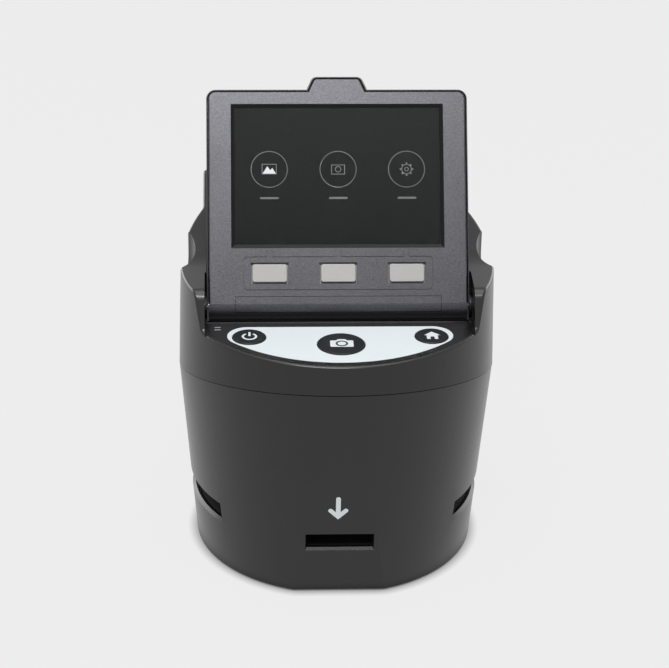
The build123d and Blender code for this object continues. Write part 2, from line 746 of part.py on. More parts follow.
def lid_slab(inset, z0, z1, foot=0.0):
    """Lid outline with its lifting tab, from foot upward."""
    half = LID_HALF - inset
    top = LID_TOP - inset
    plate = Pos(0, (foot + top) / 2) * Rectangle(2 * half, top - foot)
    plate = fillet(plate.vertices().sort_by(Axis.Y)[-2:], LID_CORNER - inset)
    tip, root = TAB_HALF[0] - inset, TAB_HALF[1] - inset
    tab = make_face(Polyline((-root, top - 1), (-root, top), (-tip, TAB_TOP - inset),
                             (tip, TAB_TOP - inset), (root, top), (root, top - 1), close=True))
    plate += fillet(tab.vertices().sort_by(Axis.Y)[-2:], TAB_CORNER - inset)
    return extrude(Pos(0, 0, z0) * plate, amount=z1 - z0)


def barrel(r, half):
    return Rot(0, 90, 0) * Cylinder(r, 2 * half)


def outer_rim(solid, z, radius):
    """Rounds the upper and side edges of a lid piece at one level."""
    rim = [e for e in solid.edges() if abs(e.center().Z - z) < TINY and e.bounding_box().size.Z < TINY
           and (abs(e.center().X) > LID_HALF - 4 or e.center().Y > LID_TOP - 4 or abs(e.center().Y) < 0.1)]
    return fillet([e for e in rim if e.center().Y > 0.5], radius)


def lid_window():
    """Opening over the picture, with sloping walls."""
    margin = WINDOW_MARGIN
    mid = LCD_U + LCD_H / 2
    wide = Pos(0, mid, LID_FACE + TINY) * Rectangle(LCD_W + 2 * margin, LCD_H + 2 * margin)
    tight = Pos(0, mid, LID_FACE - WINDOW_DEPTH) * Rectangle(LCD_W + 0.9, LCD_H + 0.9)
    slope = loft([wide, tight], ruled=True)
    through = block(-LCD_W / 2 - 0.45, LCD_W / 2 + 0.45, LCD_U - 0.45, LCD_U + LCD_H + 0.45, 0, LID_FACE)
    return slope + through


GROOVE = 0.35
KEY_PLATE = (34.3, 4.8, 17.1)     # half width, lower and upper edge of the groove round the keys
KEY_TAB = (0.8, 2.3)              # half width and height of the mark above each key
COVER_HALF = 37.2
COVER_TOP = 2.7
COVER_LOW = -2.9
COVER_T = 1.4


def key_places():
    return [-KEY_PITCH, 0.0, KEY_PITCH]


def plate_outline(inset, z0, z1):
    half, low, high = KEY_PLATE
    face = Pos(0, (low + high) / 2, z0) * Rectangle(2 * (half - inset), high - low - 2 * inset)
    return extrude(fillet(face.vertices(), 1.6 - inset), amount=z1 - z0)


def frame_groove():
    """Shallow groove round the keys, with a small raised mark above each key."""
    high = KEY_PLATE[2]
    w, h = KEY_TAB
    z0 = LID_FACE - 0.4
    z1 = LID_FACE + 1
    outer = plate_outline(0, z0, z1)
    inner = plate_outline(GROOVE, z0 - 1, z1 + 1)
    for x in key_places():
        outer += block(x - w - GROOVE, x + w + GROOVE, high - 1, high + h, z0, z1)
        inner += block(x - w, x + w, high - 1, high + h + 1, z0 - 1, z1 + 1)
    return outer - inner


def lid_front_bezel():
    r = LID_STEP
    slab = lid_slab(r, LID_SPLIT, LID_FACE)
    slab = outer_rim(slab, LID_FACE, 0.6)
    body = slab + (barrel(BARREL_R, LID_HALF - r) & block(-FAR, FAR, -8, 0, LID_SPLIT, 8))
    inner = block(-LID_HALF + LID_WALL + r, LID_HALF - LID_WALL - r, 8.0, LID_TOP - LID_WALL - r,
                  LID_SPLIT - 1, LID_FACE - LID_WALL)
    body -= inner + lid_window() + frame_groove()
    for x in key_places():
        body -= block(x - KEY_W / 2 - KEY_GAP, x + KEY_W / 2 + KEY_GAP,
                      KEY_U - KEY_H / 2 - KEY_GAP, KEY_U + KEY_H / 2 + KEY_GAP, 0, 10)
        body -= block(x - KEY_W / 2 - 1.2, x + KEY_W / 2 + 1.2, KEY_U - KEY_H / 2 - 1.0, 9.0, 0,
                      LID_FACE - LID_WALL)
    body -= hinge_strip(0.15)
    body -= barrel(PIN_R + PIN_FIT, FAR)
    for x, y in lid_screw_places():
        body += rod(x, y, LID_SPLIT, LID_FACE - LID_WALL + 0.2, 2.6)
        body -= rod(x, y, LID_SPLIT - 2, LID_FACE - LID_WALL - 0.4, 0.9)
    return body


def hinge_strip(grow):
    """Strip along the lower end of the lid face, bent round the front of the barrel."""
    half = COVER_HALF - 0.15 + grow
    low = COVER_LOW - grow
    inner = BARREL_R - COVER_T - grow
    bend = barrel(BARREL_R + 2 * grow, half) - barrel(inner, half + 1)
    bend &= block(-FAR, FAR, low, 0.0, 1, 9)
    return bend + block(-half, half, 0, COVER_TOP - 0.15 + grow, inner, LID_FACE + 2 * grow)


def lid_hinge_cover():
    return hinge_strip(0.0)


def lid_screw_places():
    return [(s * 43.4, y) for s in (-1, 1) for y in (16.0, 74.0)]


def lid_back_cover():
    split = LID_SPLIT - 0.25
    slab = lid_slab(0.0, -LID_FACE, split)
    slab = outer_rim(slab, -LID_FACE, 1.6)
    body = slab + (barrel(BARREL_R, LID_HALF) & block(-FAR, FAR, -8, 0, -8, split))
    lip = lid_slab(0.0, split - 1, LID_LIP_TOP) - lid_slab(LID_LIP, split - 2, LID_LIP_TOP + 1, foot=-1.0)
    body += outer_rim(lip, LID_LIP_TOP, 0.18)
    inner = block(-LID_HALF + LID_WALL, LID_HALF - LID_WALL, 8.0, LID_TOP - LID_WALL,
                  -LID_FACE + LID_WALL, LID_SPLIT + 1)
    hollow = block(-42.0, 42.0, -0.1, 9.0, -LID_FACE + LID_WALL, LID_SPLIT + 1)
    body -= inner + hollow
    body -= barrel(BARREL_R - LID_WALL - 0.3, 37.0)
    body -= barrel(PIN_R + PIN_FIT, FAR)
    for x, y in lid_screw_places():
        body += rod(x, y, -LID_FACE + LID_WALL - 0.2, split, 2.6)
        body -= rod(x, y, -8, 3, 1.2) + rod(x, y, -8, -LID_FACE + 1.1, 2.1)
    return body


def lid_screws():
    return [screw(x, y, -LID_FACE + 1.1, 8.6, 0.9, head_r=1.9, head_t=1.0) for x, y in lid_screw_places()]


def display_window():
    z = LID_FACE - WINDOW_DEPTH
    pane = block(-LCD_W / 2 - 0.4, LCD_W / 2 + 0.4, LCD_U - 0.4, LCD_U + LCD_H + 0.4, z - WINDOW_T, z)
    return pane


def display_panel():
    z = LID_FACE - WINDOW_DEPTH - WINDOW_T
    glass = block(-LCD_W / 2 - 2, LCD_W / 2 + 2, LCD_U - 2.6, LCD_U + LCD_H + 2, z - 1.3, z - 0.15)
    picture = block(-LCD_W / 2, LCD_W / 2, LCD_U, LCD_U + LCD_H, z - 1.3, z - PICTURE_GAP)
    return (glass + picture) & block(-FAR, FAR, 0, 90, 0, LID_FACE - LID_WALL + 0.05)


def display_backlight():
    z = LID_FACE - WINDOW_DEPTH - 2.0
    return block(-LCD_W / 2 - 2, LCD_W / 2 + 2, LCD_U - 2.6, LCD_U + LCD_H + 2, z - 1.8, z)


def lid_board():
    z = -0.8
    board = block(-40, 40, 6.0, 18.4, z, z + 1.0)
    return board


def key_switches():
    z = 0.2
    return [block(x - 2.6, x + 2.6, KEY_U - 2.2, KEY_U + 2.2, z, z + 0.9)
            + rod(x, KEY_U, z + 0.9, z + 1.4, 1.2) for x in key_places()]


def soft_key(x):
    """Rectangular key with a flange behind the bezel and a plunger over its switch."""
    w, h = KEY_W / 2, KEY_H / 2
    cap = block(x - w, x + w, KEY_U - h, KEY_U + h, LID_FACE - LID_WALL - 0.6, LID_FACE + KEY_PROUD)
    cap = fillet(cap.edges().filter_by(Axis.Z), 0.9)
    rim = [e for e in cap.edges() if abs(e.center().Z - LID_FACE - KEY_PROUD) < TINY]
    cap = fillet(rim, 0.3)
    z1 = LID_FACE - LID_WALL - 0.1
    flange = block(x - w - 0.9, x + w + 0.9, KEY_U - h - 0.7, KEY_U + h + 0.7, z1 - 0.8, z1)
    return cap + flange + rod(x, KEY_U, 2.2, z1, 1.2)


def nodes():
    """Every sub-part under its name."""
    made = {
        "lower_shell": lower_shell(), "upper_shell": upper_shell(), "base_plate": base_plate(),
        "rubber_feet": rubber_feet(), "base_screws": base_screws(), "shell_screws": shell_screws(),
        "board_screws": board_screws(), "button_board_screws": button_board_screws(),
        "panel_overlay": panel_overlay(), "button_board": button_board(),
        "button_switches": button_switches(), "indicator_lights": indicator_lights(),
        "hinge_pin_left": hinge_pin(-1), "hinge_pin_right": hinge_pin(1),
        "friction_washer_left": friction_washer(-1), "friction_washer_right": friction_washer(1),
        "film_gate_lower": film_gate_lower(), "film_gate_upper": film_gate_upper(),
        "insert_guide": insert_guide(), "rail_screws": rail_screws(), "detent_springs": detent_springs(),
        "diffuser": diffuser(), "light_box": light_box(), "led_board": led_board(),
        "backlight_leds": backlight_leds(), "board_pads": board_pads(),
        "optical_tower": optical_tower(), "lens_barrel": lens_barrel(),
        "front_lens": lens_element(57.2, 1.0, 1.4), "rear_lens": lens_element(64.0, 0.8, 1.0),
        "ir_filter": ir_filter(), "image_sensor": image_sensor(), "sensor_board": sensor_board(),
        "sensor_screws": sensor_screws(), "tower_screws": tower_screws(),
        "main_board": main_board(), "usb_socket": usb_socket(), "hdmi_socket": hdmi_socket(),
        "card_socket": card_socket(), "processor_chip": processor_chip(), "memory_chips": memory_chips(),
        "lid_front_bezel": in_lid(lid_front_bezel()), "lid_back_cover": in_lid(lid_back_cover()),
        "lid_hinge_cover": in_lid(lid_hinge_cover()), "lid_screws": in_lid(lid_screws()),
        "display_window": in_lid(display_window()), "display_panel": in_lid(display_panel()),
        "display_backlight": in_lid(display_backlight()), "lid_board": in_lid(lid_board()),
        "key_switches": in_lid(key_switches()),
    }
    for name, x in zip(("left", "middle", "right"), key_places()):
        made["soft_key_" + name] = in_lid(soft_key(x))
    for name, (x, y, r) in zip(("capture", "power", "home"), button_places()):
        made[name + "_button"] = button(x, y, r)
    return made


def main():
    os.makedirs("parts", exist_ok=True)
    for name, piece in nodes().items():
        shape = Compound(children=piece) if isinstance(piece, list) else piece
        export_step(shape, "parts/" + name + ".step")


main()
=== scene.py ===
import math

import bmesh
import bpy
from mathutils import Matrix, Vector


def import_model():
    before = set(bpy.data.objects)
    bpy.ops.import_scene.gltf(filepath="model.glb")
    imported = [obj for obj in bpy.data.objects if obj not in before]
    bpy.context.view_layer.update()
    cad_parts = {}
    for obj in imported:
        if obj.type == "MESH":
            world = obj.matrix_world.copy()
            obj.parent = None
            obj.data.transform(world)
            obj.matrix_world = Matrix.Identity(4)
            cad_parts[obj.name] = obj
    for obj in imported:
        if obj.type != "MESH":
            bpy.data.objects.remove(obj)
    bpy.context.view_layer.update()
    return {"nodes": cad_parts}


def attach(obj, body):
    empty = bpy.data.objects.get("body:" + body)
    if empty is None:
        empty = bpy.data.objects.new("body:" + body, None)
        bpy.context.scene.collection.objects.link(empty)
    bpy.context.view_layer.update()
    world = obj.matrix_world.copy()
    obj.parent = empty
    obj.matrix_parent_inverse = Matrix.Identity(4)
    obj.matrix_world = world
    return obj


# Tabletop film negative scanner: finishes, printed marks, floor, light and camera.
# Places on the object are in millimetres, and MM turns them into metres. The stage is in metres.

MM = 0.001
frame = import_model()

# ---- places on the object, in millimetres and degrees ----
FOOT_GAP = 0.8                 # lower edge of the casing above the table
FACET_Y = 49.35                # flat front facet from the axis, at that edge
FACET_SLOPE = 0.125            # how much further out the facet is for each millimetre up
DECK_TOP = 96.0                # height of the marks on the buttons
HINGE = (0.0, -10.5, 97.5)     # a point on the lid's axis
LID_ANGLE = 59.2               # slope of the open lid
PICTURE_LEVEL = 4.3            # picture surface above the hinge axis, out of the lid face
PICTURE_RISE = (22.0, 71.0)    # lower and upper edge of the picture, up the lid from the hinge axis
WINDOW_HALF = 38.57            # outer edge of the bevel round the display, half its width
WINDOW_RISE = (20.15, 72.81)   # the same edge, up the lid from the hinge axis
KEY_PITCH = 24.8
KEY_RISE = 11.05               # middle of the keys, up the lid from the hinge axis
KEY_HOLE = (6.85, 3.85)        # half width and half height of a key's hole
BUTTONS = {"capture_button": (0.0, -38.8), "power_button": (-32.4, -32.8),
           "home_button": (32.4, -32.8)}
MARK_SHIFT = {"capture_button": (0.2, 0.3), "power_button": (0.1, -0.1),
              "home_button": (0.2, 0.0)}   # each mark from its button's middle
PRINT_T = 0.03                 # thickness of a printed mark
SHOWN_T = 0.01                 # thickness of what the display shows
ARROW_TIP_Z = 32.7             # arrow over the front slot, height of its tip
ARROW_SHIFT = -0.8             # and its distance from the middle
ICON_X = (-24.7, 0.3, 25.2)    # middles of the three signs on the display
ICON_U = 49.1                  # and how far up the lid they are
LINE = 0.26                    # line width of the signs

# ---- camera, fitted to edges measured in the photograph ----
CAMERA_PLACE = (-37.984, -779.033, 463.586)   # mm
CAMERA_TURN = (-2.749, 26.152, 0.913)         # yaw, pitch and roll in degrees
FOCAL_PX = 2346.624
PHOTO_WIDTH_PX = 669
SENSOR_WIDTH = 36.0                           # mm
CLIP = (0.02, 60)                             # metres

# ---- floor, world and lamps, in metres ----
BACKDROP = "#ededed"           # what is seen directly of floor and world
PAPER = "#e4e4e4"              # what the lamps light
SHOWN_SHARE = 0.95             # share of the backdrop's value in what is seen of the floor
FLOOR_HALF = 12.0
CONTACT_REACH = 4 * MM         # how far the painted contact shadow under the object reaches
CONTACT_SAMPLES = 8
FILL = 0.30                    # strength of the light from all round
MIDDLE = (0, 0, 0.08)          # middle of the object
LAMPS = {                      # place, aim, size, and power in watts
    "overhead": ((0.0, -0.02, 0.62), MIDDLE, (0.55, 0.4), 1.55),
    "front_top": ((-0.13, -0.56, 0.87), (0, -0.02, 0.15), (0.55, 0.17), 5.6),
    "left_strip": ((-0.82, 0.68, 0.30), MIDDLE, (0.9, 0.6), 5.0),
    "right_strip": ((0.80, 0.68, 0.30), MIDDLE, (0.8, 0.6), 3.5),
}

# ---- finishes ----
BROAD = 30.0                   # width of the slow changes of tone on plastic, mm
BEVEL_BLACK_AND_GAP_SHADE = "#131314"             # black at the display's bevel, and painted shade in the gaps round the keys
PLASTIC_IOR = 1.52
ACRYLIC_IOR = 1.49
GLASS_IOR = 1.52
# The display window is acrylic too, but with an index near that it renders as speckle. So it is set
# near 1, and the gloss that belongs to it is given to the picture close behind.
WINDOW_IOR = 1.02
PICTURE_IOR = 1.42


# ------------------------------------------------------------------ camera, floor, light

def camera():
    """The photograph's viewpoint, in front of the object and a little to the left."""
    yaw, pitch, roll = (math.radians(v) for v in CAMERA_TURN)
    back = Vector((math.sin(yaw) * math.cos(pitch), -math.cos(yaw) * math.cos(pitch),
                   math.sin(pitch)))
    level = Vector((math.cos(yaw), math.sin(yaw), 0))
    lift = back.cross(level)
    right = level * math.cos(roll) + lift * math.sin(roll)
    up = lift * math.cos(roll) - level * math.sin(roll)
    data = bpy.data.cameras.new("camera")
    data.sensor_width = SENSOR_WIDTH
    data.sensor_fit = "HORIZONTAL"
    data.lens = FOCAL_PX / PHOTO_WIDTH_PX * SENSOR_WIDTH
    data.clip_start, data.clip_end = CLIP
    made = bpy.data.objects.new("camera", data)
    turn = Matrix((right, up, back)).transposed().to_4x4()
    made.matrix_world = Matrix.Translation(Vector(CAMERA_PLACE) * MM) @ turn
    bpy.context.scene.collection.objects.link(made)
    bpy.context.scene.camera = made


def linear(colour):
    """An sRGB hex value as linear RGBA."""
    parts = [int(colour[i:i + 2], 16) / 255 for i in (1, 3, 5)]
    return [c / 12.92 if c <= 0.04045 else ((c + 0.055) / 1.055) ** 2.4 for c in parts] + [1.0]


def put(tree, node, inputs):
    """Sets a node's inputs by name or number, each to a socket or a plain value."""
    for name, value in inputs.items():
        if isinstance(value, bpy.types.NodeSocket):
            tree.links.new(value, node.inputs[name])
        else:
            node.inputs[name].default_value = value


def add(tree, kind, inputs=None, **settings):
    """Adds a node with its settings and inputs."""
    made = tree.nodes.new("ShaderNode" + kind)
    for name, value in settings.items():
        setattr(made, name, value)
    put(tree, made, inputs or {})
    return made


def seen_directly(tree):
    """1 for camera, glossy and transmission rays, which see the pale backdrop."""
    path = add(tree, "LightPath")
    some = add(tree, "Math", {0: path.outputs["Is Camera Ray"], 1: path.outputs["Is Glossy Ray"]},
               operation="MAXIMUM")
    return add(tree, "Math", {0: some.outputs[0], 1: path.outputs["Is Transmission Ray"]},
               operation="MAXIMUM").outputs[0]


def floor():
    """Pale sweep. Seen directly it has mostly the backdrop's value, with a painted contact shadow
    close to the object.
    """
    shape = bmesh.new()
    bmesh.ops.create_grid(shape, x_segments=1, y_segments=1, size=FLOOR_HALF)
    made = mesh_object("floor", shape)
    material = bpy.data.materials.new("pale_sweep")
    material.use_nodes = True
    tree = material.node_tree
    tree.nodes.clear()
    paper = add(tree, "BsdfDiffuse", {"Color": linear(PAPER)})
    # painted contact shadow: ambient occlusion darkens the backdrop's glow close to the object
    near = add(tree, "AmbientOcclusion", {"Distance": CONTACT_REACH}, samples=CONTACT_SAMPLES)
    glow = add(tree, "Emission", {"Color": linear(BACKDROP), "Strength": near.outputs["AO"]})
    share = add(tree, "Math", {0: seen_directly(tree), 1: SHOWN_SHARE}, operation="MULTIPLY")
    mixed = add(tree, "MixShader", {0: share.outputs[0], 1: paper.outputs[0], 2: glow.outputs[0]})
    add(tree, "OutputMaterial", {"Surface": mixed.outputs[0]})
    made.data.materials.append(material)


def world():
    """White fill from all round, and the backdrop where the world is seen directly."""
    made = bpy.data.worlds.new("studio")
    made.use_nodes = True
    tree = made.node_tree
    tree.nodes.clear()
    fill = add(tree, "Background", {"Color": linear("#ffffff"), "Strength": FILL})
    pale = add(tree, "Background", {"Color": linear(BACKDROP), "Strength": 1.0})
    mixed = add(tree, "MixShader",
                {0: seen_directly(tree), 1: fill.outputs[0], 2: pale.outputs[0]})
    add(tree, "OutputWorld", {"Surface": mixed.outputs[0]})
    bpy.context.scene.world = made


def lamps():
    """Softboxes over the object and high in front, and one behind each side that draws its edge."""
    for name, (place, aim, size, watts) in LAMPS.items():
        data = bpy.data.lights.new(name, "AREA")
        data.shape = "RECTANGLE"
        data.size, data.size_y = size
        data.energy = watts
        made = bpy.data.objects.new(name, data)
        made.location = place
        made.rotation_mode = "QUATERNION"
        made.rotation_quaternion = (Vector(aim) - Vector(place)).to_track_quat("-Z", "Y")
        bpy.context.scene.collection.objects.link(made)


# ------------------------------------------------------------------ mesh helpers

def mesh_object(name, shape):
    """A new object from a bmesh, at the origin."""
    data = bpy.data.meshes.new(name)
    shape.to_mesh(data)
    shape.free()
    made = bpy.data.objects.new(name, data)
    bpy.context.scene.collection.objects.link(made)
    return made


def plane(place, across, up, out):
    """Frame in millimetres with its x, y and z along across, up and out."""
    turn = Matrix((across, up, out)).transposed().to_4x4()
    return Matrix.Scale(MM, 4) @ Matrix.Translation(place) @ turn


def facet_plane(height):
    """Frame on the flat front facet: x across, y up the facet, z out of it."""
    lean = math.atan(FACET_SLOPE)
    out = Vector((0, -math.cos(lean), -math.sin(lean)))
    up = Vector((0, -math.sin(lean), math.cos(lean)))
    place = Vector((0, -FACET_Y - FACET_SLOPE * (height - FOOT_GAP), height))
    return plane(place, Vector((1, 0, 0)), up, out)


def lid_plane(across, along, level):
    """Frame on the lid: x across, y up the lid, z out of its face."""
    a = math.radians(LID_ANGLE)
    up = Vector((0, math.cos(a), math.sin(a)))
    out = Vector((0, -math.sin(a), math.cos(a)))
    place = Vector(HINGE) + Vector((across, 0, 0)) + up * along + out * level
    return plane(place, Vector((1, 0, 0)), up, out)


def button_plane(button):
    """Level frame on top of a button, where its mark is."""
    (x, y), (shift_x, shift_y) = BUTTONS[button], MARK_SHIFT[button]
    return plane(Vector((x + shift_x, y + shift_y, DECK_TOP)), Vector((1, 0, 0)),
                 Vector((0, 1, 0)), Vector((0, 0, 1)))


def printed(name, body, where, shape, finish, thick=PRINT_T):
    """A flat outline in where's frame, given the thickness of a print and put on body."""
    faces = shape.faces[:]
    bmesh.ops.recalc_face_normals(shape, faces=faces)
    for face in faces:
        if face.normal.z < 0:
            face.normal_flip()
    raised = bmesh.ops.extrude_face_region(shape, geom=faces)
    tops = [v for v in raised["geom"] if isinstance(v, bmesh.types.BMVert)]
    bmesh.ops.translate(shape, verts=tops, vec=(0, 0, thick))
    bmesh.ops.recalc_face_normals(shape, faces=shape.faces[:])
    bmesh.ops.transform(shape, matrix=where, verts=shape.verts[:])
    made = mesh_object(name, shape)
    made.data.materials.append(FINISHES[finish])
    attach(made, body)


def ring(shape, outer, inner, start=0.0, turn=360.0, y=0.0, steps=48):
    """Flat ring or part of one round (0, y); angles in degrees from the x axis."""
    a = math.radians(start)
    ends = [shape.verts.new((r * math.cos(a), y + r * math.sin(a), 0)) for r in (inner, outer)]
    edge = shape.edges.new(ends)
    whole = turn >= 360
    bmesh.ops.spin(shape, geom=ends + [edge], cent=(0, y, 0), axis=(0, 0, 1), dvec=(0, 0, 0),
                   angle=math.radians(turn), steps=steps, use_merge=whole, use_duplicate=False)


def outline(shape, points):
    """Flat face through a few points."""
    shape.faces.new([shape.verts.new((x, y, 0)) for x, y in points])


def bar(shape, x0, x1, y0, y1):
    """Flat rectangle."""
    outline(shape, [(x0, y0), (x1, y0), (x1, y1), (x0, y1)])


def rounded(shape, radius, segments=4, corners=None):
    """Rounds the corners of a flat outline, or only those with the given numbers."""
    verts = [v for i, v in enumerate(shape.verts[:]) if corners is None or i in corners]
    bmesh.ops.bevel(shape, geom=verts, offset=radius, offset_type="OFFSET", affect="VERTICES",
                    segments=segments, profile=0.5, material=-1, clamp_overlap=True)


def merged(shapes):
    """One bmesh out of several."""
    whole = bmesh.new()
    for part in shapes:
        data = bpy.data.meshes.new("part")
        part.to_mesh(data)
        part.free()
        whole.from_mesh(data)
        bpy.data.meshes.remove(data)
    return whole


# ------------------------------------------------------------------ finishes

FINISHES = {}


def start(name):
    """Empty material with object coordinates and a principled shader, entered in FINISHES."""
    material = bpy.data.materials.new(name)
    material.use_nodes = True
    tree = material.node_tree
    tree.nodes.clear()
    shader = add(tree, "BsdfPrincipled")
    add(tree, "OutputMaterial", {"Surface": shader.outputs[0]})
    coords = add(tree, "TexCoord")
    FINISHES[name] = material
    return tree, shader, coords.outputs["Object"]


def spread(tree, value, low, high, ends=(0.3, 0.7)):
    """Spreads a noise value, which seldom leaves ends, over low to high."""
    return add(tree, "MapRange", {"Value": value, "From Min": ends[0], "From Max": ends[1],
                                  "To Min": low, "To Max": high}).outputs[0]


def times(tree, colour, by):
    """A colour, as hex or a socket, times a value."""
    if isinstance(colour, str):
        colour = linear(colour)[:3]
    return add(tree, "VectorMath", {0: colour, "Scale": by}, operation="SCALE").outputs[0]


def moulded(name, colour, roughness, grain, depth, ior=PLASTIC_IOR, speck=0.0, mottle=0.04,
            metallic=0.0):
    """Moulded or painted plastic. grain is the width of one bump of its texture in mm and depth
    its height in mm; speck varies the colour at that size and mottle over some centimetres."""
    tree, shader, place = start(name)
    fine = add(tree, "TexNoise", {"Vector": place, "Scale": 1 / (grain * MM), "Detail": 2.0,
                                  "Roughness": 0.6}).outputs["Fac"]
    broad = add(tree, "TexNoise", {"Vector": place, "Scale": 1 / (BROAD * MM),
                                   "Detail": 3.0}).outputs["Fac"]
    tone = spread(tree, fine, 1 - speck, 1 + speck, ends=(0.25, 0.75))
    wide = spread(tree, broad, 1 - mottle, 1 + mottle)
    both = add(tree, "Math", {0: tone, 1: wide}, operation="MULTIPLY")
    tint = times(tree, colour, both.outputs[0])
    gloss = spread(tree, broad, roughness * 0.92, roughness * 1.08)
    bump = add(tree, "Bump", {"Height": fine, "Distance": depth * MM, "Strength": 1.0})
    put(tree, shader, {"Base Color": tint, "Roughness": gloss, "Normal": bump.outputs[0],
                       "IOR": ior, "Metallic": metallic})


def lid_paint(name):
    """Grey metallic paint with flakes drawn at half a millimetre so that they show. It is black at
    the bevel round the display. In the three key holes it is painted shade: black for the shade
    in the gaps round the keys."""
    moulded(name, "#47474b", 0.32, 0.5, 0.024, speck=0.36, metallic=0.7)
    tree = FINISHES[name].node_tree
    shader = tree.nodes["Principled BSDF"]
    paint = shader.inputs["Base Color"].links[0].from_socket
    place = add(tree, "TexCoord").outputs["Object"]
    across = add(tree, "SeparateXYZ", {"Vector": place}).outputs["X"]
    a = math.radians(LID_ANGLE)
    along = add(tree, "VectorMath", {0: place, 1: (0, math.cos(a), math.sin(a))},
                operation="DOT_PRODUCT").outputs["Value"]
    zero = HINGE[1] * math.cos(a) + HINGE[2] * math.sin(a)

    def within(value, middle, half):
        off = add(tree, "Math", {0: value, 1: middle * MM}, operation="SUBTRACT")
        size = add(tree, "Math", {0: off.outputs[0]}, operation="ABSOLUTE")
        return add(tree, "Math", {0: size.outputs[0], 1: half * MM},
                   operation="LESS_THAN").outputs[0]

    # mask: black at the display's bevel, and painted shade in the three key holes
    bevel_black_and_gap_shade = 0.0
    low, high = WINDOW_RISE
    places = [(0.0, WINDOW_HALF, (low + high) / 2, (high - low) / 2)]
    places += [(x, KEY_HOLE[0], KEY_RISE, KEY_HOLE[1]) for x in (-KEY_PITCH, 0.0, KEY_PITCH)]
    for x, half_x, u, half_u in places:
        both = add(tree, "Math", {0: within(across, x, half_x), 1: within(along, zero + u, half_u)},
                   operation="MULTIPLY")
        bevel_black_and_gap_shade = add(tree, "Math", {0: both.outputs[0], 1: bevel_black_and_gap_shade}, operation="MAXIMUM").outputs[0]
    colour = add(tree, "Mix", {0: bevel_black_and_gap_shade, 6: paint, 7: linear(BEVEL_BLACK_AND_GAP_SHADE)}, data_type="RGBA")
    put(tree, shader, {"Base Color": colour.outputs[2]})


def brushed_metal(name, colour, roughness, along=(1, 1, 20)):
    """Rolled or turned metal with fine scratches, narrow along the axis with the large factor."""
    tree, shader, place = start(name)
    stretched = add(tree, "Mapping", {"Vector": place, "Scale": along})
    lines = add(tree, "TexNoise", {"Vector": stretched.outputs[0], "Scale": 1 / (1.5 * MM),
                                   "Detail": 4.0}).outputs["Fac"]
    tint = times(tree, colour, spread(tree, lines, 0.85, 1.08))
    gloss = spread(tree, lines, roughness * 0.8, roughness * 1.25)
    bump = add(tree, "Bump", {"Height": lines, "Distance": 0.01 * MM, "Strength": 0.6})
    put(tree, shader, {"Base Color": tint, "Roughness": gloss, "Normal": bump.outputs[0],
                       "Metallic": 1.0})


def clear(name, tint, ior):
    """Clear acrylic or glass, perfectly smooth, its tint a little uneven over some centimetres."""
    tree, shader, place = start(name)
    haze = add(tree, "TexNoise", {"Vector": place, "Scale": 1 / (20 * MM), "Detail": 2.0})
    shade = times(tree, tint, spread(tree, haze.outputs["Fac"], 0.98, 1.0))
    put(tree, shader, {"Base Color": shade, "Roughness": 0.0, "Transmission Weight": 1.0,
                       "IOR": ior})


def solder_mask(name):
    """Green lacquered board: copper tracks just proud under the lacquer, with bright round pads."""
    track_pitch, track_height = 6 * MM, 0.03 * MM
    pad_pitch, pad_size = 4 * MM, 0.12
    tree, shader, place = start(name)
    tracks = add(tree, "TexBrick", {"Vector": place, "Scale": 1 / track_pitch, "Mortar Size": 0.05,
                                    "Mortar Smooth": 0.1, "Color1": linear("#0e4a2c"),
                                    "Color2": linear("#115232"), "Mortar": linear("#1f7a4a")})
    pads = add(tree, "TexVoronoi", {"Vector": place, "Scale": 1 / pad_pitch}, feature="F1")
    dot = add(tree, "Math", {0: pads.outputs["Distance"], 1: pad_size}, operation="LESS_THAN")
    mixed = add(tree, "Mix", {0: dot.outputs[0], 6: tracks.outputs["Color"],
                              7: linear("#cfd2cc")}, data_type="RGBA")
    bump = add(tree, "Bump", {"Height": tracks.outputs["Fac"], "Distance": track_height,
                              "Strength": 0.5})
    put(tree, shader, {"Base Color": mixed.outputs[2], "Metallic": dot.outputs[0],
                       "Normal": bump.outputs[0], "Roughness": 0.32, "IOR": 1.5})


def opal(name, colour):
    """Light-spreading acrylic, milky with a soft sheen."""
    tree, shader, place = start(name)
    cloud = add(tree, "TexNoise", {"Vector": place, "Scale": 1 / (2 * MM), "Detail": 2.0})
    tint = times(tree, colour, spread(tree, cloud.outputs["Fac"], 0.94, 1.0, ends=(0.0, 1.0)))
    put(tree, shader, {"Base Color": tint, "Roughness": 0.28, "IOR": ACRYLIC_IOR,
                       "Subsurface Weight": 0.4, "Subsurface Radius": (1.0, 1.0, 1.0),
                       "Subsurface Scale": 2 * MM})


def display_glow_and_painted_reflection(name, low, high):
    """Display glow, from low at its lower edge to high at its upper one. Its rise towards the
    top is a painted reflection. The fine cell pattern of the panel is drawn coarser than the
    real 0.15 mm so that it shows."""
    tree, shader, place = start(name)
    part = add(tree, "SeparateXYZ", {"Vector": place})
    bottom, top = (HINGE[2] + u * math.sin(math.radians(LID_ANGLE)) for u in PICTURE_RISE)
    rise = add(tree, "MapRange", {"Value": part.outputs["Z"], "From Min": bottom * MM,
                                  "From Max": top * MM})
    # painted reflection: the glow is brighter towards the top of the display
    tint = add(tree, "Mix", {0: rise.outputs[0], 6: linear(low), 7: linear(high)},
               data_type="RGBA")
    cells = add(tree, "TexNoise", {"Vector": place, "Scale": 1 / (0.5 * MM), "Detail": 0.0})
    level = spread(tree, cells.outputs["Fac"], 0.94, 1.06, ends=(0.0, 1.0))
    put(tree, shader, {"Emission Color": times(tree, tint.outputs[2], level),
                       "Emission Strength": 1.0, "Base Color": linear("#020202"),
                       "IOR": PICTURE_IOR, "Roughness": 0.05})


